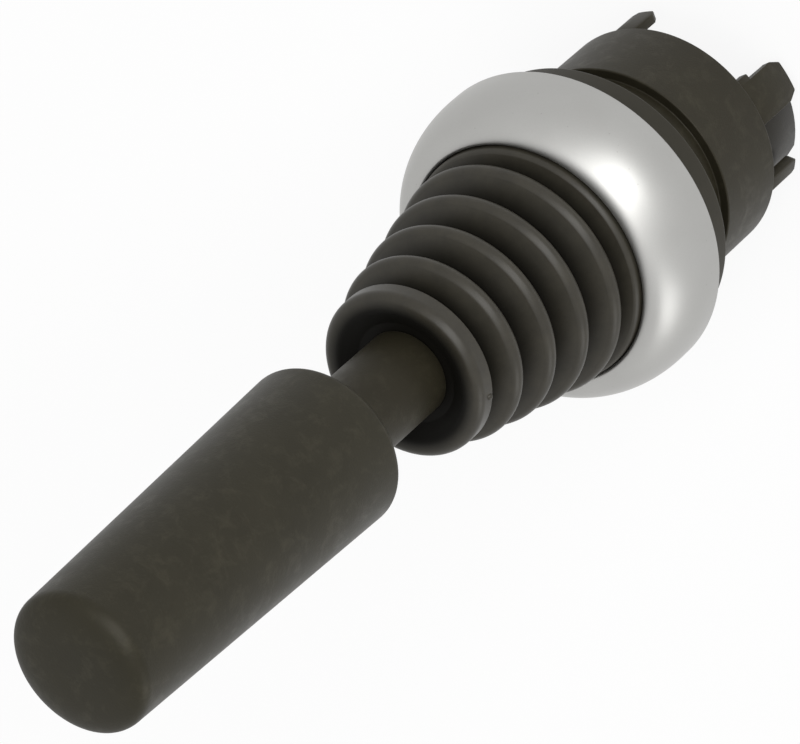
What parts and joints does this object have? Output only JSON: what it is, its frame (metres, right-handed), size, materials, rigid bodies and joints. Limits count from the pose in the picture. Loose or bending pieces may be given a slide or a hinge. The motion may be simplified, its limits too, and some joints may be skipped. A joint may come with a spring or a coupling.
{
  "type": "industrial joystick",
  "caption": "Panel-mounted joystick: a tapered grip on a gimbal-mounted lever, sealed by a rubber bellows in a round bezel, pushing sprung plungers at the rear.",
  "frame": {"origin": "centre of the gasket's rear face, which rests on the panel", "axes": "+Z along the barrel towards the grip, +X and +Y along the two tilt axes, with the trunnion pins on X"},
  "size_m": [0.0296, 0.0296, 0.0983],
  "materials": {
    "bezel_metal": "satin, finely frosted",
    "gasket_rubber": "matt",
    "housing_plastic": "fine matt grain",
    "bellows_rubber": "satin sheen on the folds",
    "inner_plastic": "matt",
    "guide_plastic": "matt",
    "steel": "turned",
    "spring_steel": "drawn wire",
    "grip_plastic": "semi-matt, faint handling marks",
    "brass": "turned",
    "plunger_plastic": "smooth"
  },
  "bodies": {
    "housing": {"bezel_ring": "bezel_metal", "panel_gasket": "gasket_rubber", "barrel_housing": "housing_plastic", "bellows": "bellows_rubber", "pivot_carrier": "inner_plastic", "gate_plate": "steel", "plunger_guide": "guide_plastic", "guide_circlip": "spring_steel", "spring_right": "spring_steel", "spring_left": "spring_steel", "spring_rear": "spring_steel", "spring_front": "spring_steel"},
    "gimbal": {"gimbal_ring": "steel", "trunnion_pins": "steel"},
    "lever": {"lever_shaft": "steel", "cross_pin": "steel", "pressure_plate": "steel", "plate_clip": "spring_steel", "neck_sleeve": "grip_plastic", "grip_insert": "brass", "grip": "grip_plastic"},
    "push_right": {"plunger_right": "plunger_plastic"},
    "push_left": {"plunger_left": "plunger_plastic"},
    "push_rear": {"plunger_rear": "plunger_plastic"},
    "push_front": {"plunger_front": "plunger_plastic"}
  },
  "joints": [
    {"name": "tilt_front_rear", "type": "hinge", "parent": "housing", "child": "gimbal", "pos_m": [0, 0, 0.008], "axis": [1, 0, 0], "range_deg": [-12, 12], "stiffness_Nm_per_rad": 0.12, "deforming": ["bellows"]},
    {"name": "tilt_left_right", "type": "hinge", "parent": "gimbal", "child": "lever", "pos_m": [0, 0, 0.008], "axis": [0, 1, 0], "range_deg": [-12, 12], "stiffness_Nm_per_rad": 0.12, "deforming": ["bellows"]},
    {"name": "push_right_slide", "type": "slide", "parent": "housing", "child": "push_right", "axis": [0, 0, 1], "range_m": [-0.00135, 0.00135], "deforming": ["spring_right"]},
    {"name": "push_left_slide", "type": "slide", "parent": "housing", "child": "push_left", "axis": [0, 0, 1], "range_m": [-0.00135, 0.00135], "deforming": ["spring_left"]},
    {"name": "push_rear_slide", "type": "slide", "parent": "housing", "child": "push_rear", "axis": [0, 0, 1], "range_m": [-0.00135, 0.00135], "deforming": ["spring_rear"]},
    {"name": "push_front_slide", "type": "slide", "parent": "housing", "child": "push_front", "axis": [0, 0, 1], "range_m": [-0.00135, 0.00135], "deforming": ["spring_front"]}
  ],
  "couplings": [
    {"joint": "push_right_slide", "follows": "tilt_left_right", "m_per_rad": -0.0063},
    {"joint": "push_left_slide", "follows": "tilt_left_right", "m_per_rad": 0.0063},
    {"joint": "push_rear_slide", "follows": "tilt_front_rear", "m_per_rad": 0.0063},
    {"joint": "push_front_slide", "follows": "tilt_front_rear", "m_per_rad": -0.0063}
  ]
}
